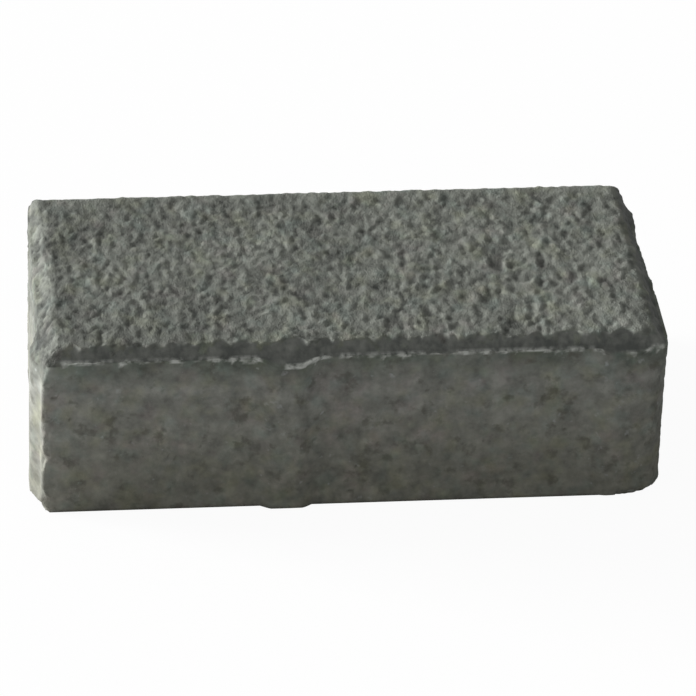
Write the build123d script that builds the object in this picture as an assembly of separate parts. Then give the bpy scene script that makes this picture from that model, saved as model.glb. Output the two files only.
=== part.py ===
from build123d import *
from math import atan2, degrees, tan
import os

# Rectangular concrete paver, pressed as one piece: a flat bed face, a wear face with a bevelled
# rim, and spacer nibs that hold the joint open against the next paver.
# The origin is the middle of the bed face, +X runs along the length and +Z points up.

# Driving dimensions, in millimetres
length = 200.0            # between the two end faces, without nibs
width = 100.0             # between the two long faces, without nibs
height = 60.0             # bed face to wear face
corner_radius = 1.5       # upright corners
bevel_run = 3.8           # bevel, measured across the wear face
bevel_drop = 4.5          # bevel, measured down from the wear face
ledge_width = 1.0         # narrow flat that the pressing plate leaves inside the mould wall
nib_depth = 3.0           # how far a nib stands out, which is half of the joint
nib_root_width = 18.0     # nib where it leaves the side face
nib_crown_width = 8.0     # flat crown that meets the next paver
nib_round = 3.0           # radius along the nib's crown and root
nib_top_drop = 1.6        # top of a crown, measured down from the ledge
nib_corner_inset = 15.0   # nib middle from the right-hand corner of its side, seen from outside
nib_far_inset = 78.5      # second nib of a long side, from the left-hand corner

# Derived places
bevel_foot = height - bevel_drop
bevel_taper = degrees(atan2(bevel_run, bevel_drop))
flank_angle = atan2(nib_depth, (nib_root_width - nib_crown_width) / 2)
nib_reach = nib_root_width / 2 + nib_round * tan(flank_angle / 2)
cut_clearance = 1.0       # how far a cutting shape runs past what it cuts


def nib_places():
    # Nibs of the rear and left sides, then the same again half a turn round.
    rear = Pos(0, width / 2, 0)
    left = Rot(Z=90) * Pos(0, length / 2, 0)
    half = [
        rear * Pos(nib_corner_inset - length / 2, 0, 0),
        rear * Pos(length / 2 - nib_far_inset, 0, 0),
        left * Pos(nib_corner_inset - width / 2, 0, 0),
    ]
    return half + [Rot(Z=180) * place for place in half]


def mould_outline():
    # Plan of the mould: a rounded rectangle with a rounded trapezoid standing out at each nib.
    nib = Polygon(
        (-nib_root_width / 2, 0),
        (nib_root_width / 2, 0),
        (nib_crown_width / 2, nib_depth),
        (-nib_crown_width / 2, nib_depth),
        align=None,
    )
    block = RectangleRounded(length, width, corner_radius)
    plain_points = [Vector(v) for v in block.vertices()]
    outline = block + [place * nib for place in nib_places()]
    nib_points = [
        v for v in outline.vertices()
        if min((Vector(v) - p).length for p in plain_points) > 1e-4
    ]
    return fillet(nib_points, radius=nib_round)


def bevel_run_out():
    # Wedge above a nib: the bevel crosses the ledge there and runs on down to the crown.
    outer = nib_depth + cut_clearance
    slope = nib_top_drop / (ledge_width + nib_depth)
    section = Plane.YZ * Polygon(
        (-ledge_width, bevel_foot),
        (outer, bevel_foot - (ledge_width + outer) * slope),
        (outer, bevel_foot + cut_clearance),
        (-ledge_width, bevel_foot + cut_clearance),
        align=None,
    )
    return extrude(section, amount=nib_reach, both=True)


def slab():
    # Everything below the foot of the bevel, nibs included.
    block = extrude(mould_outline(), amount=bevel_foot)
    return block - [place * bevel_run_out() for place in nib_places()]


def wear_layer():
    # The bevelled top: a mitred frustum with the upright corners rounded off.
    foot = Pos(0, 0, bevel_foot)
    plate = Rectangle(length - 2 * ledge_width, width - 2 * ledge_width)
    frustum = extrude(foot * plate, amount=bevel_drop, taper=bevel_taper)
    rounded = offset(RectangleRounded(length, width, corner_radius), amount=-ledge_width)
    return frustum & extrude(foot * rounded, amount=bevel_drop)


paver = slab() + wear_layer()

os.makedirs("parts", exist_ok=True)
export_step(paver, "parts/paver.step")
print("paver", "volume", round(paver.volume), "mm3", "size", paver.bounding_box().size)
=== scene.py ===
import bpy, bmesh, math
from mathutils import Matrix, Vector, noise


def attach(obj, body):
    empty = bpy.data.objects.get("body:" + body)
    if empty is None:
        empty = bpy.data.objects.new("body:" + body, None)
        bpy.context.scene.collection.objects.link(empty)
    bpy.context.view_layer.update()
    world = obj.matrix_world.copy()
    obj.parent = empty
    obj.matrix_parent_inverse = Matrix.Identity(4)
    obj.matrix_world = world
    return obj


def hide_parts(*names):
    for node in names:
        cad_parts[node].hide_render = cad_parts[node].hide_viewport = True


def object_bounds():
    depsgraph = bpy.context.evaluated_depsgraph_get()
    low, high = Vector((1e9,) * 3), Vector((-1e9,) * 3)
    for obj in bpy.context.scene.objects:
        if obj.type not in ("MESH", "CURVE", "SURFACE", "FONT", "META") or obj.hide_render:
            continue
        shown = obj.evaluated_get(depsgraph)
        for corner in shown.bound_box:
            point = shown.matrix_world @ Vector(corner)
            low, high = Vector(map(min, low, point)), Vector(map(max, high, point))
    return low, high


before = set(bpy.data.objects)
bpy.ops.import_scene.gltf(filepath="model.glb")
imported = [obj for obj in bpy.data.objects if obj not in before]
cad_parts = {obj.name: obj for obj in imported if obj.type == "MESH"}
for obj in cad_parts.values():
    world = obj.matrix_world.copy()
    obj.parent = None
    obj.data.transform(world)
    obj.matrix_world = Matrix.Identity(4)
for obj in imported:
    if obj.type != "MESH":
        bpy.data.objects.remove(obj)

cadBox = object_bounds()
print("frame loaded, CAD box", cadBox)

# the CAD box in millimetres, spacer nibs counted
boxX, boxY, boxZ = (round(1000.0 * (high - low), 3) for low, high in zip(*cadBox))
nibDepth = 3.0

# sizes of the cast block in millimetres, brought to metres at the very end
block = {
    "length": boxX - 2 * nibDepth, "width": boxY - 2 * nibDepth, "height": boxZ,
    "cornerRadius": 1.5, "mitreRadius": 0.2,    # upright corners, and the upper end of the mitres
    "bevelRun": 3.8, "bevelDrop": 4.5, "ledge": 1.0,
    "nibDepth": nibDepth, "nibReach": 11.2, "nibCrown": 2.8, "nibTopDrop": 1.6,
    "longNibs": ((-21.5, 1.0), (85.0, 0.75)),   # place along the front, and how much is left of it
    "endNib": -35.0,                            # place along the left end
    "topCells": (288, 138), "bevelRows": 10, "ledgeRows": 4, "wallRows": 47,
    "scrapRows": (0.4, 0.5),                    # two closer rows at the top of the wall
    "bedInset": 1.6, "onSide": 0.02,            # what counts as lying on a side
}

# wear of the edges: smoothing passes, how far a worn zone reaches in from the sides, and its lowest point
worn = {
    "rimPasses": 4, "rimReach": 1.5,
    "leftPasses": 18, "leftReach": 7.5, "leftLow": 47.0,
    "leftRear": 11.0, "leftTurn": 0.3,          # where it stops at the rear and at the front corner
    "rightPasses": 16, "rightReach": 9.0, "rightTurn": 4.0,
    "cornerPasses": 7, "cornerReach": 4.5, "cornerLow": 51.0,
    "frontLeftPasses": 36, "frontLeftReach": 9.0, "frontLeftLow": 49.0,
}


def smoothStep(low, high, x):
    t = min(max((x - low) / (high - low), 0.0), 1.0)
    return t * t * (3.0 - 2.0 * t)


def wobble(x, y, z, size, seed):
    # soft noise with features of the given size; the seed picks another slice of it
    return noise.noise(Vector((x / size + seed, y / size - seed, z / size + 2.0 * seed)))


def wearRound(bm, verts, passes):
    for i in range(passes):
        bmesh.ops.smooth_vert(bm, verts=verts, factor=0.5,
                              use_axis_x=True, use_axis_y=True, use_axis_z=True)


def pullRow(bm, rim, spreadX, spreadY, drop):
    # one more row of faces round the rim, spread outwards and lowered
    out = bmesh.ops.extrude_edge_only(bm, edges=rim)
    fresh = [g for g in out["geom"] if isinstance(g, bmesh.types.BMVert)]
    if spreadX != 1.0 or spreadY != 1.0:
        bmesh.ops.scale(bm, vec=(spreadX, spreadY, 1.0), verts=fresh)
    if drop:
        bmesh.ops.translate(bm, vec=(0, 0, -drop), verts=fresh)
    inRow = set(fresh)
    rim = [g for g in out["geom"] if isinstance(g, bmesh.types.BMEdge)
           and g.verts[0] in inRow and g.verts[1] in inRow]
    return rim, fresh


def roundCorner(verts, halfX, halfY, radius):
    # swing what lies in the corner square onto the corner's arc
    for v in verts:
        dx = abs(v.co.x) - (halfX - radius)
        dy = abs(v.co.y) - (halfY - radius)
        if dx > 0 and dy > 0:
            k = radius / math.hypot(dx, dy)
            v.co.x = math.copysign(halfX - radius + dx * k, v.co.x)
            v.co.y = math.copysign(halfY - radius + dy * k, v.co.y)


def nibAt(x, y, halfX, halfY):
    # how far the mould stands out here, and which way; rear and right are turned half round
    if abs(abs(y) - halfY) < block["onSide"]:
        turn = 1.0 if y < 0 else -1.0
        gap, whole = min((abs(x * turn - at), share if y < 0 else 1.0)
                         for at, share in block["longNibs"])
        way = Vector((0, -turn, 0))
    elif abs(abs(x) - halfX) < block["onSide"]:
        turn = 1.0 if x < 0 else -1.0
        gap, whole = abs(y * turn - block["endNib"]), 1.0
        way = Vector((-turn, 0, 0))
    else:
        return 0.0, Vector((0, 0, 0))
    out = 1.0 - smoothStep(block["nibCrown"], block["nibReach"], gap)
    return out * whole * block["nibDepth"], way


def castBlock():
    bm = bmesh.new()
    # the first layer holds painted shade for hollows, air holes, crumbled notches, dents and knocks, along
    # with the crust's duller tone
    for name in ("shadeAndDull", "wearFace", "burr", "pressedRim", "nib"):    # the concrete reads the first four
        bm.verts.layers.float.new(name)
    nib = bm.verts.layers.float["nib"]
    halfX, halfY = block["length"] / 2, block["width"] / 2
    inset = block["ledge"] + block["bevelRun"]
    foot = block["height"] - block["bevelDrop"]

    # wear face
    cellsX, cellsY = block["topCells"]
    bmesh.ops.create_grid(bm, x_segments=cellsX, y_segments=cellsY, size=1.0)
    bmesh.ops.scale(bm, vec=(halfX - inset, halfY - inset, 1.0), verts=bm.verts)
    bmesh.ops.translate(bm, vec=(0, 0, block["height"]), verts=bm.verts)
    topVerts = list(bm.verts)
    rim = [e for e in bm.edges if e.is_boundary]

    # bevel, ledge and wall, row by row
    bevelRows, ledgeRows, wallRows = [], [], []
    sizeX, sizeY = halfX - inset, halfY - inset
    for i in range(block["bevelRows"]):
        step = block["bevelRun"] / block["bevelRows"]
        rim, row = pullRow(bm, rim, (sizeX + step) / sizeX, (sizeY + step) / sizeY,
                           block["bevelDrop"] / block["bevelRows"])
        sizeX, sizeY = sizeX + step, sizeY + step
        bevelRows.append(row)
    for i in range(block["ledgeRows"]):
        step = block["ledge"] / block["ledgeRows"]
        rim, row = pullRow(bm, rim, (sizeX + step) / sizeX, (sizeY + step) / sizeY, 0.0)
        sizeX, sizeY = sizeX + step, sizeY + step
        ledgeRows.append(row)
    even = (foot - sum(block["scrapRows"])) / block["wallRows"]
    for drop in list(block["scrapRows"]) + [even] * block["wallRows"]:
        rim, row = pullRow(bm, rim, 1.0, 1.0, drop)
        wallRows.append(row)
    bed = bmesh.ops.contextual_create(bm, geom=rim)["faces"]
    bmesh.ops.inset_region(bm, faces=bed, thickness=block["bedInset"], depth=0.0, use_even_offset=True)
    print("block drawn:", len(bm.verts), "points")

    # nibs: the ledge and the wall follow the mould out, and a nib's top slopes down to its crown
    for i, row in enumerate(ledgeRows):
        t = (i + 1) / block["ledgeRows"]
        half = (halfX - block["ledge"] * (1 - t), halfY - block["ledge"] * (1 - t))
        for v in row:
            out, way = nibAt(v.co.x, v.co.y, *half)
            v[nib] = out / block["nibDepth"]
            v.co += way * out * t
            v.co.z -= t * block["nibTopDrop"] * v[nib]
    for row in wallRows:
        for v in row:
            out, way = nibAt(v.co.x, v.co.y, halfX, halfY)
            v.co += way * out
            v.co.z *= 1.0 - block["nibTopDrop"] * out / block["nibDepth"] / foot

    # upright corners
    for i, row in enumerate(bevelRows):
        t = (i + 1) / block["bevelRows"]
        cut = inset - block["bevelRun"] * t
        radius = block["mitreRadius"] * (1 - t) + (block["cornerRadius"] - block["ledge"]) * t
        roundCorner(row, halfX - cut, halfY - cut, radius)
    for i, row in enumerate(ledgeRows):
        cut = block["ledge"] * (1 - (i + 1) / block["ledgeRows"])
        roundCorner(row, halfX - cut, halfY - cut, block["cornerRadius"] - cut)
    for row in wallRows:
        roundCorner(row, halfX, halfY, block["cornerRadius"])

    # the rim's upper edge and its corners worn a little, the left end's shoulder worn quite round
    edge = [v for v in topVerts if abs(v.co.x) > halfX - inset - worn["rimReach"]
            or abs(v.co.y) > halfY - inset - worn["rimReach"]]
    wearRound(bm, edge + bevelRows[0] + bevelRows[1], worn["rimPasses"])
    left = [v for v in bm.verts if v.co.x < worn["leftReach"] - halfX and v.co.z > worn["leftLow"]
            and v.co.y < halfY - worn["leftRear"] and pastMitre(v.co.x, v.co.y) > worn["leftTurn"]]
    wearRound(bm, left, worn["leftPasses"])
    right = [v for v in topVerts + bevelRows[0] + bevelRows[1] + bevelRows[2]
             if v.co.x > halfX - worn["rightReach"] and pastMitre(v.co.x, v.co.y) > -worn["rightTurn"]]
    wearRound(bm, right, worn["rightPasses"])
    corners = [v for v in bm.verts if v.co.z > worn["cornerLow"] and (v.co.x > 0 or v.co.y < 0)
               and min(abs(v.co.x) - halfX, abs(v.co.y) - halfY) > -worn["cornerReach"]]
    wearRound(bm, corners, worn["cornerPasses"])
    frontLeft = [v for v in bm.verts if v.co.z > worn["frontLeftLow"]
                 and v.co.x < worn["frontLeftReach"] - halfX and v.co.y < worn["frontLeftReach"] - halfY]
    wearRound(bm, frontLeft, worn["frontLeftPasses"])
    bm.normal_update()
    return bm, topVerts, bevelRows, ledgeRows, wallRows


# relief of the wear face and of the crust that spills over its bevel, millimetres
crust = {
    "stone": 0.46, "stoneSize": 4.4,        # larger stones
    "grain": 0.34, "grainSize": 2.95,       # smaller ones between them
    "stoneBend": 0.5, "stoneRadius": 0.72, "lowest": 0.45,  # how crooked, how wide, the lowest's height
    "grit": 0.09, "gritSize": 1.3,
    "ridge": 0.19, "ridgeSize": 3.1,        # thin crooked ridges of set paste
    "swell": 0.10, "swellSize": 10.0,
    "patchSize": 18.0,                      # clouds of taller and lower stones
    "stretch": 1.65,                        # stones lie a little longer across the block
    "rearSound": (38.0, 45.0, 0.5),         # from where to where it flattens to the rear, and how much
    "left": 2.2, "right": 0.10, "front": 0.24, "rear": 0.40,    # share of each bevel that it covers
    "frontLeft": (-86.0, -98.0, 1.0),       # and how much more along the left end of the front
    "turn": (2.5, 1.5),                     # how far it comes round the left and the right corners
    "hides": (0.6, 1.2),                    # shares from which it hides the bevel's foot, in part and wholly
    "uneven": 1.0, "thinning": 0.22,        # its lower edge, up and down, and how soon it thins out
    "ragged": 2.3, "raggedIn": 6.0, "raggedDown": 0.7,      # its arris in and out, and how far that fades
    "frontRagged": 1.15, "frontOut": 0.3, "frontLimits": (-0.9, 0.7),
    "rearRagged": 0.45, "rightRagged": 0.40,    # the rear and right edges are sounder
    "shoulder": 0.6, "shoulderMiddle": 0.48,    # rougher on the left end's shoulder, about its mean depth
    "bevelDullShade": 0.27, "ledgeDullShade": 0.32, "wallDullShade": 0.40,     # and darker, by place: partly a duller tone, partly painted shade of the crust's gaps
    "bulge": 0.9, "bulgeFrom": (25.0, 42.0),    # the left bevel is fuller by the rear corner
    "bald": [(50.0, -0.5, 2.6, 7.5), (64.5, -0.5, 1.5, 5.5)],   # bare patches: middle and half sizes
    "baldDepth": 0.5, "baldRelief": 0.3, "baldDull": 0.08,
    "runDown": (12.0, 34.0),                # how far it reaches down the left end, and more to the rear
    "runDownTurn": (-24.0, -14.0), "runDownShare": 0.65,    # where that begins, and how thick it lies
}


def pebbles(x, y, z, size, seed):
    # one layer of rounded stones of uneven size and height
    bend = crust["stoneBend"] * size
    bent = Vector((x + bend * wobble(x, y, z, 0.6 * size, seed),
                   y + bend * wobble(x, y, z, 0.6 * size, seed + 5.0), z + seed * size)) / size
    near = noise.voronoi(bent)
    rise = noise.cell_vector(near[1][0] * 9.7).x
    dome = max(0.0, 1.0 - (near[0][0] / crust["stoneRadius"]) ** 2)
    return dome * (crust["lowest"] + (1.0 - crust["lowest"]) * rise)


def crustDepth(x, y, z, stretch):
    # how far the surface lies below the tallest stone
    start, end, less = crust["rearSound"]
    sound = 1.0 - less * smoothStep(start, end, y)
    y /= stretch
    coarse = pebbles(x, y, z, crust["stoneSize"], 0.0)
    fine = pebbles(x, y, z, crust["grainSize"], 3.0)
    patch = smoothStep(-0.4, 0.4, wobble(x, y, z, crust["patchSize"], 21.0))
    grit = wobble(x, y, z, crust["gritSize"], 3.0)
    grit += 0.5 * wobble(x, y, z, 0.5 * crust["gritSize"], 4.0)
    swell = 0.5 + 0.5 * wobble(x, y, z, crust["swellSize"], 7.0)
    rise = max(crust["stone"] * coarse * (0.7 + 0.3 * patch), crust["grain"] * fine)
    rise += 0.45 * crust["grain"] * fine + crust["grit"] * grit + crust["swell"] * swell
    rise += crust["ridge"] * (0.5 - 2.0 * abs(wobble(x, y, z, crust["ridgeSize"], 8.0)))
    return max(0.0, crust["stone"] + crust["grit"] + crust["swell"] - rise) * sound


def baldAt(x, y):
    # how much of the stones is missing in a bare patch
    share = 0.0
    for midX, midY, wide, long in crust["bald"]:
        far = math.hypot((x - midX) / wide, (y - midY) / long)
        far += 0.35 * wobble(x, y, 0, 3.0, 91.0) + 0.2 * wobble(x, y, 0, 1.4, 93.0)
        share = max(share, 1.0 - smoothStep(0.75, 1.05, far))
    return share


def pastMitre(x, y):
    # above nought on the end faces, below it on the long ones
    return abs(x) - block["length"] / 2 - abs(y) + block["width"] / 2


def crustCover(x, y):
    # share of the bevel that the crust reaches over, by side
    end = crust["left"] if x < 0 else crust["right"]
    side = crust["rear"]
    if y < 0:
        start, stop, more = crust["frontLeft"]
        side = crust["front"] + more * smoothStep(start, stop, x)
    reach = crust["turn"][0 if x < 0 else 1]
    turn = smoothStep(-reach, 1.0, pastMitre(x, y) + 2.5 * wobble(x, y, 0, 3.0, 27.0))
    return side + (end - side) * turn


def crustOver(x, y):
    # nought where the bevel is pressed clean, one where the crust hides its foot
    return smoothStep(*crust["hides"], crustCover(x, y))


def shoulderDepth(x, y, z, over):
    # crustDepth where the crust lies over the rim, lumpier there
    deep = crustDepth(x, y, z, 1.0 + (crust["stretch"] - 1.0) * (1.0 - over))
    return max(-0.1, deep + over * crust["shoulder"] * (deep - crust["shoulderMiddle"]))


def brokenLine(along, side):
    # in and out along an edge, coarse to fine
    line = 1.0 * wobble(along, side, 0, 8.0, 9.0) + 0.7 * wobble(along, side, 0, 4.0, 1.0)
    return line + 0.25 * wobble(along, side, 0, 1.6, 2.0)


def raggedEdge(x, y):
    # how far the arris is broken back or stands out
    turn = smoothStep(-3.0, 3.0, pastMitre(x, y))
    alongX = brokenLine(x, math.copysign(40.0, y))
    alongY = abs(brokenLine(y, math.copysign(60.0, x)))
    if y > 0:
        alongX = crust["rearRagged"] * abs(alongX)
    else:
        low, high = crust["frontLimits"]
        alongX = min(max(crust["frontRagged"] * alongX + crust["frontOut"], low), high)
    if x > 0:
        alongY *= crust["rightRagged"]
    out = Vector((turn * math.copysign(alongY, x), (1.0 - turn) * alongX * math.copysign(1.0, y), 0))
    return out * crust["ragged"] * (1.0 - smoothStep(0.4, 0.9, crustCover(x, y)))


# relief of the moulded faces, millimetres
mould = {
    "pressed": 0.30, "rimWave": 0.16, "dent": 0.30,     # rim: how deep it is pressed, waved and dented
    "rimTone": 0.3, "dentTone": 0.4, "wallTone": 0.25,  # levels they set in the painted-shade mask, the dents darkest
    "burr": 0.62, "burrRun": 4.2, "burrSink": 0.08, "ledgeSink": 0.05,
    "burrGone": [(-101.0, -94.5), (-30.0, -23.5), (79.0, 82.5)],    # where it has broken off the front
    "burrKept": (-23.5, -13.0),                                     # and where it is whole, at the nib
    "wallWave": 0.20,
    "pit": 0.45, "pitCell": 6.5, "pitBend": 1.5, "pitSize": (0.08, 0.20),   # air holes
    "flare": 0.9, "flareHeight": 7.0,       # foot squeezed out under the mould
    "flareX": (-80.0, -60.0), "flareY": (-20.0, -28.0),     # but not by the rear left corner
    "crumble": 2.4, "crumbleReach": (1.0, 4.0), "crumbleLow": 2.4,
    "crumbleTop": (54.0, 40.0),             # the rear left edge is sound towards its top
}


def burrAt(x, y):
    # how much of the burr is left on the mould line
    run = 0.6 * wobble(x, y, 0, mould["burrRun"], 11.0)
    run += 0.4 * wobble(x, y, 0, 0.4 * mould["burrRun"], 13.0)
    if y < 0:
        start, end = mould["burrKept"]
        run += 0.5 * smoothStep(start - 1.0, start, x) * smoothStep(end + 1.0, end, x)
    share = smoothStep(-0.28, 0.20, run) * (1.0 - crustOver(x, y))
    if x > 0:   # none on the right end
        share *= 1.0 - smoothStep(-2.0, 1.0, pastMitre(x, y))
    if y < 0:
        for start, end in mould["burrGone"]:
            share *= 1.0 - smoothStep(start - 1.0, start, x) * smoothStep(end + 1.0, end, x)
    return share


def weather(bm, topVerts, bevelRows, ledgeRows, wallRows):
    shadeAndDull, wear, burr, rim, nib = bm.verts.layers.float.values()
    moves = []
    halfX = block["length"] / 2 - block["ledge"] - block["bevelRun"]
    halfY = block["width"] / 2 - block["ledge"] - block["bevelRun"]

    # wear face: stones with hollows between them
    for v in topVerts:
        x, y, z = v.co
        edge = min(halfX - abs(x), halfY - abs(y))
        deep = crustDepth(x, y, z, crust["stretch"])
        bare = baldAt(x, y)
        deep += bare * (crust["baldRelief"] * deep + crust["baldDepth"] - deep)
        # painted shade in the hollows between the stones, a little darker on bare patches
        v[shadeAndDull] = min(deep + crust["baldDull"] * bare, 1.0)
        v[wear] = 1.0
        move = v.normal * -deep
        if edge < crust["raggedIn"]:
            move += raggedEdge(x, y) * (1.0 - smoothStep(0.0, crust["raggedIn"], edge))
        moves.append((v, move))

    # bevel: pressed smooth, with the crust spilling over its upper edge
    for i, row in enumerate(bevelRows):
        t = (i + 1) / block["bevelRows"]
        for v in row:
            x, y, z = v.co
            uneven = wobble(x, y, 0, 3.6, 31.0) + 0.7 * wobble(x, y, 0, 1.5, 33.0)
            uneven += 0.5 * wobble(x, y, 0, 9.0, 35.0)
            cover = smoothStep(0.0, crust["thinning"], crustCover(x, y) - t + crust["uneven"] * uneven)
            wave = 0.5 + 0.5 * wobble(x, y, z, 5.0, 1.0)
            dent = smoothStep(0.30, 0.60, wobble(x, y, z, 2.6, 5.0))
            over = crustOver(x, y)
            deep = shoulderDepth(x, y, z, over * smoothStep(-1.0, 1.5, pastMitre(x, y)))
            v[wear] = cover
            v[rim] = 1.0 - cover
            if t > 0.85:    # the burr begins at the foot, but not above a nib
                out = nibAt(x, y, halfX + block["bevelRun"] * t, halfY + block["bevelRun"] * t)[0]
                v[burr] = smoothStep(0.82, 1.0, t) * burrAt(x, y) * (1.0 - smoothStep(0.0, 0.5, out))
            # the crust's hollows take painted shade; where it hides the bevel it is darker, partly its own
            # duller tone and partly painted shade of its gaps
            stony = min(deep + over * (crust["bevelDullShade"] - 0.2 * deep), 1.0)
            # painted shade in the dents of the clean rim, and the crust's share where it covers
            v[shadeAndDull] = cover * stony + (1.0 - cover) * (mould["rimTone"] + mould["dentTone"] * dent)
            smooth = mould["pressed"] + mould["rimWave"] * wave + mould["dent"] * dent
            bulge = crust["bulge"] * over * smoothStep(*crust["bulgeFrom"], y) * 4.0 * t * (1.0 - t)
            move = v.normal * (bulge - cover * deep - (1.0 - cover) * smooth)
            moves.append((v, move + raggedEdge(x, y) * (1.0 - smoothStep(0.0, crust["raggedDown"], t))))

    # ledge: the squeezed-up burr, broken along its run, or rounded over under the crust
    for i, row in enumerate(ledgeRows):
        t = (i + 1) / block["ledgeRows"]
        for v in row:
            x, y, z = v.co
            over = crustOver(x, y)
            brink = smoothStep(-0.15 + 0.7 * v[nib], 0.40 + 0.5 * v[nib], t)
            lift = brink * burrAt(x, y)
            high = lift * (0.7 + 0.8 * wobble(x, y, 0, 6.0, 17.0))
            deep = shoulderDepth(x, y, z, over * smoothStep(-1.0, 1.5, pastMitre(x, y)))
            v[burr] = lift
            v[rim] = (1.0 - over) * (1.0 - brink)
            v[wear] = over
            v[shadeAndDull] = mould["rimTone"]
            # painted shade in the crust's hollows on the ledge, partly its duller tone
            v[shadeAndDull] += over * (min(0.8 * deep + crust["ledgeDullShade"], 1.0) - v[shadeAndDull])
            move = v.normal * -(over * deep + (1.0 - over) * mould["ledgeSink"])
            rise = (1.0 - over) * (mould["burr"] * high - mould["burrSink"])
            moves.append((v, move + Vector((0, 0, rise))))

    # walls: mould-smooth with a slow wave, scattered air holes and a foot that bulges a little
    for i, row in enumerate(wallRows):
        for v in row:
            x, y, z = v.co
            if i < 2:   # scraps of the burr hang down the wall
                scrap = wobble(x, y, 0, 3.0, 15.0) + 0.5 * wobble(x, y, 0, 1.2, 16.0)
                v[burr] = burrAt(x, y) * smoothStep(-0.3 + 0.6 * i, 0.2 + 0.4 * i, scrap)
            wave = 0.5 + 0.3 * wobble(x, y, z, 9.0, 2.0) + 0.2 * wobble(x, y, z, 2.8, 6.0)
            bend = Vector([wobble(x, y, z, 1.9, seed) for seed in (41.0, 43.0, 47.0)])
            near = noise.voronoi((v.co + mould["pitBend"] * bend) / mould["pitCell"])
            pick = noise.cell_vector(near[1][0] * 7.3).x
            size = mould["pitSize"][0] + mould["pitSize"][1] * pick * pick
            pit = (1.0 - smoothStep(size * 0.2, size, near[0][0])) * smoothStep(0.45, 0.7, pick)
            flare = smoothStep(mould["flareHeight"], 0.0, z)
            flare *= smoothStep(-0.3, 0.3, wobble(x, y, 0, 34.0, 71.0))
            flare *= max(smoothStep(*mould["flareX"], x), smoothStep(*mould["flareY"], y))
            over = 0.0
            if x < 0:   # the crust runs down the left end alone
                down = block["height"] - block["bevelDrop"] - z
                down += 5.0 * wobble(x, y, z, 5.0, 37.0) + 16.0 * wobble(x, y, z, 16.0, 39.0)
                runDown = crust["runDown"][0]
                runDown += crust["runDown"][1] * smoothStep(*crust["runDownTurn"], y)
                over = crustOver(x, y) * smoothStep(-0.6, 0.4, pastMitre(x, y))
                over *= 1.0 - smoothStep(0.3 * runDown, runDown, down)
            # painted shade in the air holes
            v[shadeAndDull] = mould["wallTone"] + (1.0 - mould["wallTone"]) * pit
            v[wear] = crust["runDownShare"] * over
            out = mould["flare"] * flare - mould["wallWave"] * wave - mould["pit"] * pit
            if over > 0:
                deep = shoulderDepth(x, y, z, over)
                # painted shade in the hollows of the crust on the left end, partly its duller tone
                v[shadeAndDull] += over * (min(0.8 * deep + crust["wallDullShade"], 1.0) - v[shadeAndDull])
                out -= over * (deep + out)
            moves.append((v, v.normal * out))

    for v, move in moves:
        v.co += move

    # upright corners and the bed edge, crumbled here and there
    outX, outY = block["length"] / 2, block["width"] / 2
    for row in wallRows:
        for v in row:
            x, y, z = v.co
            corner = max(outX - abs(x), 0.0) + max(outY - abs(y), 0.0)
            loose = max(0.0, wobble(x * 0.3, y * 0.3, z, 5.5, 51.0) + 0.5 * wobble(x, y, z, 1.9, 53.0))
            bite = (1.0 - smoothStep(*mould["crumbleReach"], corner)) * loose * mould["crumble"]
            if x < 0 < y:
                bite *= smoothStep(*mould["crumbleTop"], z)
            v.co -= Vector((math.copysign(0.7, x), math.copysign(0.7, y), 0)) * bite
            # painted shade in the crumbled notches
            v[shadeAndDull] = min(1.0, v[shadeAndDull] + 0.4 * bite)
            low = 1.0 - smoothStep(0.0, mould["crumbleLow"], z)
            if low > 0:
                loose = 0.12 + max(0.0, wobble(x, y, z, 5.0, 61.0) + 0.4 * wobble(x, y, z, 1.8, 63.0))
                v.co -= Vector((v.normal.x, v.normal.y, 0)) * low * loose * 0.5 * mould["crumble"]
    print("surface weathered")


# damage: corners worn round, given by the corner and its radii, and flat knocks, given by a point
# on the cut, the way that it faces and how far it reaches; millimetres
damage = {
    "roundedCorners": [
        ((100.0, -50.0, 0.0), (15.0, 11.0, 14.0)),      # lower right of the front
        ((-100.0, -50.0, 0.0), (5.0, 6.0, 7.0)),        # lower left of the front
        ((-100.0, 50.0, 0.0), (8.0, 7.0, 7.0)),
        ((100.0, 50.0, 0.0), (9.0, 8.0, 8.0)),
    ],
    "knocks": [
        ((96.2, 45.0, 58.5), (0.93, 0.12, 0.35), 14.0),     # rim by the rear right corner
        ((98.85, 6.0, 55.0), (0.88, 0.05, 0.46), 30.0),     # mould line of the right end
        ((96.6, -48.9, 21.0), (0.84, -0.54, 0.0), 36.0),    # upright edge at the front right
        ((-99.3, -49.3, 32.0), (-0.45, -0.87, 0.20), 4.0),  # upright edge at the front left
        ((-99.2, -49.2, 26.5), (-0.50, -0.85, -0.15), 3.6),
        ((-99.4, -49.3, 37.5), (-0.45, -0.87, 0.0), 3.2),
        ((-98.9, 48.7, 22.0), (-0.86, 0.50, 0.0), 42.0),    # upright edge at the rear left
        ((-99.5, 39.0, 22.0), (-0.993, 0.118, 0.0), 42.0),
        ((100.0, 35.0, 55.0), (0.99, 0.0, 0.12), 22.0),     # top of the right end's nib
        ((-102.0, -36.0, 51.0), (-0.85, 0.0, 0.53), 16.0),  # top of the left end's nib
        ((-102.5, -40.0, 1.2), (-0.66, -0.38, -0.65), 10.0),    # its foot
    ],
    "ragged": 0.7, "fade": 0.55, "knockShade": 0.12,      # knocks: their roughness, where they fade, the painted shade in their pocket
    "cornerRough": (0.36, 0.18),                    # worn corners: coarse and fine roughness
    # boxes at the rear left and front right ends of the mould line, where its thin brim has gone
    "brims": [((-104.0, 28.0, 50.5), (-94.5, 54.0, 57.5)), ((93.0, -54.0, 51.5), (104.0, -43.0, 57.5))],
    "brimPasses": 10,
}


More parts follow.
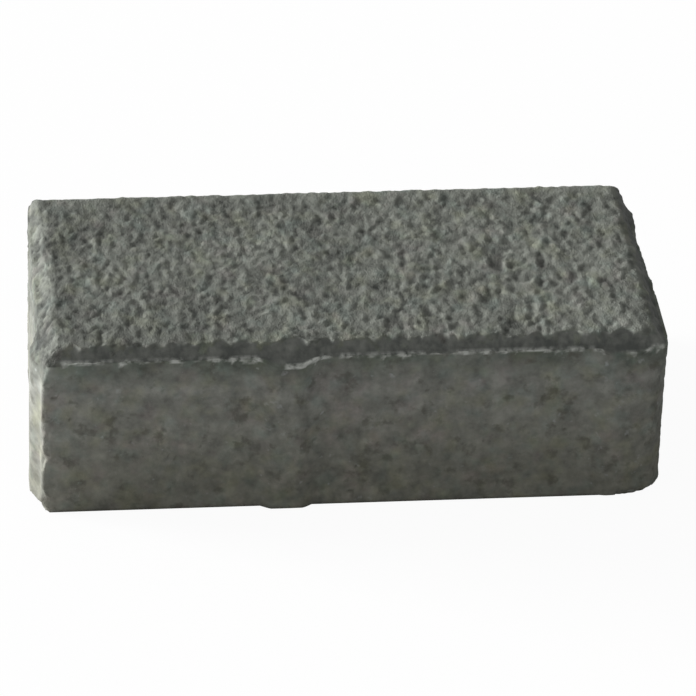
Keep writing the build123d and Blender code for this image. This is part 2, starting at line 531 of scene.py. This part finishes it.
def damageCorners(bm):
    shadeAndDull = bm.verts.layers.float["shadeAndDull"]
    coarse, fine = damage["cornerRough"]
    for corner, radii in damage["roundedCorners"]:
        # a ball that just touches the edges where they leave the corner's box
        way = [math.copysign(1.0, corner[0]), math.copysign(1.0, corner[1]), -1.0]
        centre = Vector([c - w * r for c, w, r in zip(corner, way, radii)])
        for v in bm.verts:
            off = [(p - c) * w / r for p, c, w, r in zip(v.co, centre, way, radii)]
            if min(off) > 0:
                far = math.sqrt(sum(d * d for d in off) / 2.0)
                far += (coarse * wobble(*v.co, 3.2, 81.0) + fine * wobble(*v.co, 1.4, 83.0)) / radii[0]
                if far > 1.0:
                    for k in range(3):
                        v.co[k] = centre[k] + way[k] * radii[k] * off[k] / far
    for spot, facing, size in damage["knocks"]:
        spot, facing = Vector(spot), Vector(facing).normalized()
        for v in bm.verts:
            past = (v.co - spot).dot(facing)
            reach = (v.co - spot).length / size
            if past > -1.5 and reach < 1.0:
                past += damage["ragged"] * (wobble(*v.co, 3.0, 17.0) + 0.5 * wobble(*v.co, 1.2, 19.0))
                if past > 0:
                    v.co -= facing * past * (1.0 - smoothStep(damage["fade"], 1.0, reach))
                    # painted shade in the knocked pocket
                    v[shadeAndDull] = min(1.0, v[shadeAndDull] + damage["knockShade"])
    for low, high in damage["brims"]:
        brim = [v for v in bm.verts if all(a < p < b for a, p, b in zip(low, v.co, high))]
        wearRound(bm, brim, damage["brimPasses"])
    print("corners knocked")


def keepInside(bm):
    # nothing stands outside the mould
    halfX = block["length"] / 2 + block["nibDepth"]
    halfY = block["width"] / 2 + block["nibDepth"]
    for v in bm.verts:
        v.co.x = min(max(v.co.x, -halfX), halfX)
        v.co.y = min(max(v.co.y, -halfY), halfY)
        v.co.z = min(max(v.co.z, 0.0), block["height"])


def makePaver():
    bm, topVerts, bevelRows, ledgeRows, wallRows = castBlock()
    weather(bm, topVerts, bevelRows, ledgeRows, wallRows)
    damageCorners(bm)
    keepInside(bm)
    bmesh.ops.scale(bm, vec=(0.001, 0.001, 0.001), verts=bm.verts)
    bmesh.ops.recalc_face_normals(bm, faces=bm.faces)
    for f in bm.faces:
        f.smooth = len(f.verts) == 4
    mesh = bpy.data.meshes.new("paverCast")
    bm.to_mesh(mesh)
    bm.free()
    piece = bpy.data.objects.new("paverCast", mesh)
    bpy.context.scene.collection.objects.link(piece)
    mesh.materials.append(concreteMaterial())
    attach(piece, "root")
    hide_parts("paver")
    print("paver made:", sum(len(p.vertices) - 2 for p in mesh.polygons), "triangles")
    return piece


# concrete: colours are linear, tints multiply what lies under them
concrete = {
    "wearLow": (0.0236, 0.0253, 0.0217, 1), "wearHigh": (0.151, 0.1595, 0.139, 1),
    "wallLow": (0.045, 0.046, 0.040, 1), "wallHigh": (0.234, 0.238, 0.214, 1),
    "bedDarkening": (0.80, 0.79, 0.735, 1), "shoulderStain": (0.56, 0.62, 0.58, 1),
    "rim": (0.057, 0.061, 0.056, 1), "burr": (0.315, 0.325, 0.302, 1),
    "pit": (0.056, 0.055, 0.044, 1), "speck": (0.25, 0.265, 0.26, 1),
    # patterns as scale and detail: clouds of 40 mm, patches of 15, blots of 7, spots of 3 to 4,
    # grains of 2 and sand under 1, then their weights on the wear face, the walls and the rim
    "patterns": [(24.0, 2.0), (60.0, 3.0), (140.0, 3.0), (270.0, 2.0), (470.0, 2.0), (1500.0, 2.0)],
    "wearMix": (0.20, 0.22, 0.26, 0.24, 0.20, 0.07),
    "wallMix": (0.06, 0.05, 0.34, 0.28, 0.12, 0.05),
    "rimMix": (0.0, 0.0, 0.5, 0.5, 0.4, 0.0),
    "roughness": (0.82, 0.98), "specular": 0.25,
    "grainDepth": 0.0006, "grainStrength": 0.28, "wearGrain": 0.35,
    # patches of a warmer, cooler and redder grey: tint, scale, where it starts and is whole, how much
    "tints": [((1.01, 1.01, 0.86, 1), 118.0, 0.50, 0.70, 0.75),
              ((0.93, 1.015, 1.025, 1), 163.0, 0.52, 0.70, 0.80),
              ((1.045, 0.945, 0.99, 1), 131.0, 0.54, 0.72, 0.70)],
}


def concreteMaterial():
    mat = bpy.data.materials.new("pressedConcrete")
    mat.use_nodes = True
    tree = mat.node_tree
    tree.nodes.clear()

    def node(kind, **values):
        n = tree.nodes.new(kind)
        for name, value in values.items():
            if hasattr(n, name):
                setattr(n, name, value)
            else:
                n.inputs[name.replace("_", " ")].default_value = value
        return n

    def link(a, b):
        tree.links.new(a, b)

    def noiseAt(scale, detail=2.0, rough=0.55):
        n = node("ShaderNodeTexNoise", Scale=scale, Detail=detail, Roughness=rough)
        link(along.outputs["Vector"], n.inputs["Vector"])
        return n.outputs["Fac"]

    def spread(value, low, high, to=(0.0, 1.0)):
        n = node("ShaderNodeMapRange", From_Min=low, From_Max=high, To_Min=to[0], To_Max=to[1])
        link(value, n.inputs["Value"])
        return n.outputs["Result"]

    def feed(socket, value):
        if hasattr(value, "links"):
            link(value, socket)
        else:
            socket.default_value = value

    def blend(factor, a, b, mode="MIX"):
        n = node("ShaderNodeMix", data_type="RGBA", blend_type=mode)
        for i, value in ((0, factor), (6, a), (7, b)):
            feed(n.inputs[i], value)
        return n.outputs[2]

    def maths(kind, a, b):
        n = node("ShaderNodeMath", operation=kind)
        feed(n.inputs[0], a)
        feed(n.inputs[1], b)
        return n.outputs[0]

    def layer(name):
        return node("ShaderNodeAttribute", attribute_name=name).outputs["Fac"]

    place = node("ShaderNodeTexCoord")
    axes = node("ShaderNodeSeparateXYZ")
    link(place.outputs["Object"], axes.inputs[0])
    # every pattern lies longer across the block
    along = node("ShaderNodeMapping", Location=(0.0, -0.016, 0.0), Scale=(1.0, 0.68, 1.0))
    link(place.outputs["Object"], along.inputs["Vector"])
    shadeAndDull, wear, burr, rim = layer("shadeAndDull"), layer("wearFace"), layer("burr"), layer("pressedRim")

    patterns = [noiseAt(scale, detail) for scale, detail in concrete["patterns"]]
    mottle, blotch, grains, sand = patterns[1], patterns[2], patterns[4], patterns[5]

    def total(weights):
        # weighted sum of the patterns, each stretched to its usual range, about the middle tone
        result = 0.5
        for pattern, weight in zip(patterns, weights):
            if weight:
                result = maths("ADD", spread(pattern, 0.3, 0.7, (-0.5 * weight, 0.5 * weight)), result)
        return result

    def tinted(colour):
        for tint, scale, low, high, most in concrete["tints"]:
            share = spread(noiseAt(scale, 2.0), low, high, (0.0, most))
            colour = blend(share, colour, tint, "MULTIPLY")
        return colour

    # wear face, with painted shade in the hollows and lighter on the stones, and duller to the left
    wearTone = total(concrete["wearMix"])
    wearTone = maths("ADD", wearTone, spread(shadeAndDull, 0.1, 0.9, (0.25, -0.41)))
    wearTone = maths("ADD", wearTone, spread(axes.outputs["X"], -0.10, 0.03, (-0.13, 0.0)))
    wearColour = blend(wearTone, concrete["wearLow"], concrete["wearHigh"])

    # walls: blotched, stained under the rim, and darker in blotches towards the bed
    wallTone = total(concrete["wallMix"])
    paler = spread(axes.outputs["X"], -0.098, -0.084, (0.15, 0.0))      # by the front's left edge
    notEnd = spread(axes.outputs["X"], -0.0995, -0.0985)
    wallTone = maths("ADD", wallTone, maths("MULTIPLY", paler, notEnd))
    duller = spread(axes.outputs["X"], -0.0995, -0.0985, (-0.10, 0.0))  # on the left end
    wallTone = maths("ADD", wallTone, duller)
    wallColour = blend(wallTone, concrete["wallLow"], concrete["wallHigh"])
    # darker in blotches towards the bed
    low = maths("MULTIPLY", spread(axes.outputs["Z"], 0.044, 0.010), spread(blotch, 0.15, 0.50))
    wallColour = blend(low, wallColour, concrete["bedDarkening"], "MULTIPLY")
    shoulder = maths("MULTIPLY", spread(axes.outputs["Z"], 0.045, 0.055), spread(mottle, 0.25, 0.50))
    wallColour = blend(shoulder, wallColour, concrete["shoulderStain"], "MULTIPLY")
    wallColour = blend(spread(noiseAt(190.0, 3.0), 0.57, 0.69, (0.0, 0.62)), wallColour, concrete["pit"])
    wallColour = blend(spread(noiseAt(300.0, 2.0), 0.66, 0.78, (0.0, 0.50)), wallColour, concrete["speck"])
    # painted shade where the mask is high: air holes, crumbled notches, knocks and deep crust hollows
    wallColour = blend(spread(shadeAndDull, 0.40, 0.95, (0.0, 0.70)), wallColour, concrete["pit"])

    colour = tinted(blend(wear, wallColour, wearColour))

    # pressed rim, darker to the foot, with painted shade on the right end, which is turned from the light,
    # and the pale burr under it
    rimTone = total(concrete["rimMix"])
    rimTone = maths("ADD", rimTone, spread(axes.outputs["Z"], 0.0555, 0.0595, (-0.08, 0.12)))
    # painted shade on the right end's rim, away from the light
    rimTone = maths("ADD", rimTone, spread(axes.outputs["X"], 0.094, 0.099, (0.0, -0.15)))
    rimColour = blend(spread(rimTone, 0.2, 1.1, (0.0, 0.42)), concrete["rim"], concrete["wallHigh"])
    colour = blend(rim, colour, rimColour)
    # the burr's pale colour: its own light paste, and partly a painted highlight where its crest catches the
    # light
    colour = blend(maths("MULTIPLY", burr, spread(grains, 0.30, 0.55)), colour, concrete["burr"])

    shader = node("ShaderNodeBsdfPrincipled")
    shader.inputs["Specular IOR Level"].default_value = concrete["specular"]
    link(colour, shader.inputs["Base Color"])
    link(spread(sand, 0.3, 0.7, concrete["roughness"]), shader.inputs["Roughness"])

    # fine grain in the surface, stronger on the wear face
    fine = node("ShaderNodeBump", Distance=concrete["grainDepth"])
    strength = maths("ADD", maths("MULTIPLY", wear, concrete["wearGrain"]), concrete["grainStrength"])
    link(strength, fine.inputs["Strength"])
    dust = maths("MULTIPLY", noiseAt(3600.0, 1.0), 0.3)
    link(maths("ADD", maths("MULTIPLY", sand, 0.6), dust), fine.inputs["Height"])
    link(fine.outputs["Normal"], shader.inputs["Normal"])

    out = node("ShaderNodeOutputMaterial")
    link(shader.outputs[0], out.inputs[0])
    return mat


# floor, light and camera
studio = {
    "floorSize": 12.0, "floorTone": (0.60, 0.60, 0.60, 1), "floorShow": 0.95,
    "skyLeftRight": (1.06, 0.37),
    "keyFrom": (-7.4, 2.6, 1.40), "keyAim": (0.0, 0.0, 0.03), "keySize": (2.6, 1.4), "keyPower": 2520.0,
    "azimuth": -6.78, "elevation": 32.03, "roll": 1.95, "distance": 1.765,
    "aim": (0.0026, -0.0013, 0.0281), "lens": 280.1,
}


def makeStudio():
    scene = bpy.context.scene
    scene.view_settings.view_transform = "Standard"

    # floor that the camera sees nearly white, with the shadow kept
    bm = bmesh.new()
    bmesh.ops.create_grid(bm, x_segments=1, y_segments=1, size=studio["floorSize"] / 2)
    mesh = bpy.data.meshes.new("studioFloor")
    bm.to_mesh(mesh)
    bm.free()
    floor = bpy.data.objects.new("studioFloor", mesh)
    scene.collection.objects.link(floor)
    mat = bpy.data.materials.new("paleFloor")
    mat.use_nodes = True
    tree = mat.node_tree
    tree.nodes.clear()
    path = tree.nodes.new("ShaderNodeLightPath")
    matt = tree.nodes.new("ShaderNodeBsdfDiffuse")
    matt.inputs["Color"].default_value = studio["floorTone"]
    white = tree.nodes.new("ShaderNodeEmission")
    share = tree.nodes.new("ShaderNodeMath")
    share.operation = "MULTIPLY"
    share.inputs[1].default_value = studio["floorShow"]
    mix = tree.nodes.new("ShaderNodeMixShader")
    out = tree.nodes.new("ShaderNodeOutputMaterial")
    tree.links.new(path.outputs["Is Camera Ray"], share.inputs[0])
    tree.links.new(share.outputs[0], mix.inputs[0])
    tree.links.new(matt.outputs[0], mix.inputs[1])
    tree.links.new(white.outputs[0], mix.inputs[2])
    tree.links.new(mix.outputs[0], out.inputs[0])
    mesh.materials.append(mat)

    # even sky, white to the camera
    world = bpy.data.worlds.new("studioSky")
    scene.world = world
    world.use_nodes = True
    tree = world.node_tree
    tree.nodes.clear()
    path = tree.nodes.new("ShaderNodeLightPath")
    way = tree.nodes.new("ShaderNodeTexCoord")
    axes = tree.nodes.new("ShaderNodeSeparateXYZ")
    fall = tree.nodes.new("ShaderNodeMapRange")
    fall.inputs["From Min"].default_value = -1.0
    fall.inputs["To Min"].default_value, fall.inputs["To Max"].default_value = studio["skyLeftRight"]
    tree.links.new(way.outputs["Generated"], axes.inputs[0])
    tree.links.new(axes.outputs["X"], fall.inputs["Value"])
    level = tree.nodes.new("ShaderNodeMapRange")
    level.inputs["To Max"].default_value = 1.0
    tree.links.new(fall.outputs["Result"], level.inputs["To Min"])
    sky = tree.nodes.new("ShaderNodeBackground")
    out = tree.nodes.new("ShaderNodeOutputWorld")
    tree.links.new(path.outputs["Is Camera Ray"], level.inputs["Value"])
    tree.links.new(level.outputs["Result"], sky.inputs["Strength"])
    sky.inputs["Color"].default_value = (1, 1, 1, 1)
    tree.links.new(sky.outputs[0], out.inputs[0])

    # low soft light from behind on the left
    lamp = bpy.data.lights.new("keyLight", "AREA")
    lamp.shape = "RECTANGLE"
    lamp.size, lamp.size_y = studio["keySize"]
    lamp.energy = studio["keyPower"]
    key = bpy.data.objects.new("keyLight", lamp)
    scene.collection.objects.link(key)
    key.location = studio["keyFrom"]
    shine = Vector(studio["keyAim"]) - Vector(studio["keyFrom"])
    key.rotation_euler = shine.to_track_quat("-Z", "Y").to_euler()

    # camera at the photograph's viewing angle
    az, el, roll = (math.radians(studio[k]) for k in ("azimuth", "elevation", "roll"))
    back = Vector((math.sin(az) * math.cos(el), -math.cos(az) * math.cos(el), math.sin(el)))
    right = (-back).cross(Vector((0, 0, 1))).normalized()
    up = right.cross(-back)
    tiltRight = math.cos(roll) * right + math.sin(roll) * up
    tiltUp = math.cos(roll) * up - math.sin(roll) * right
    lens = bpy.data.cameras.new("photoCamera")
    lens.lens = studio["lens"]
    lens.clip_start, lens.clip_end = 0.05, 60.0
    camera = bpy.data.objects.new("photoCamera", lens)
    scene.collection.objects.link(camera)
    turn = Matrix((tiltRight, tiltUp, back)).transposed()
    stand = Vector(studio["aim"]) + back * studio["distance"]
    camera.matrix_world = Matrix.Translation(stand) @ turn.to_4x4()
    scene.camera = camera
    print("studio set")


makePaver()
makeStudio()
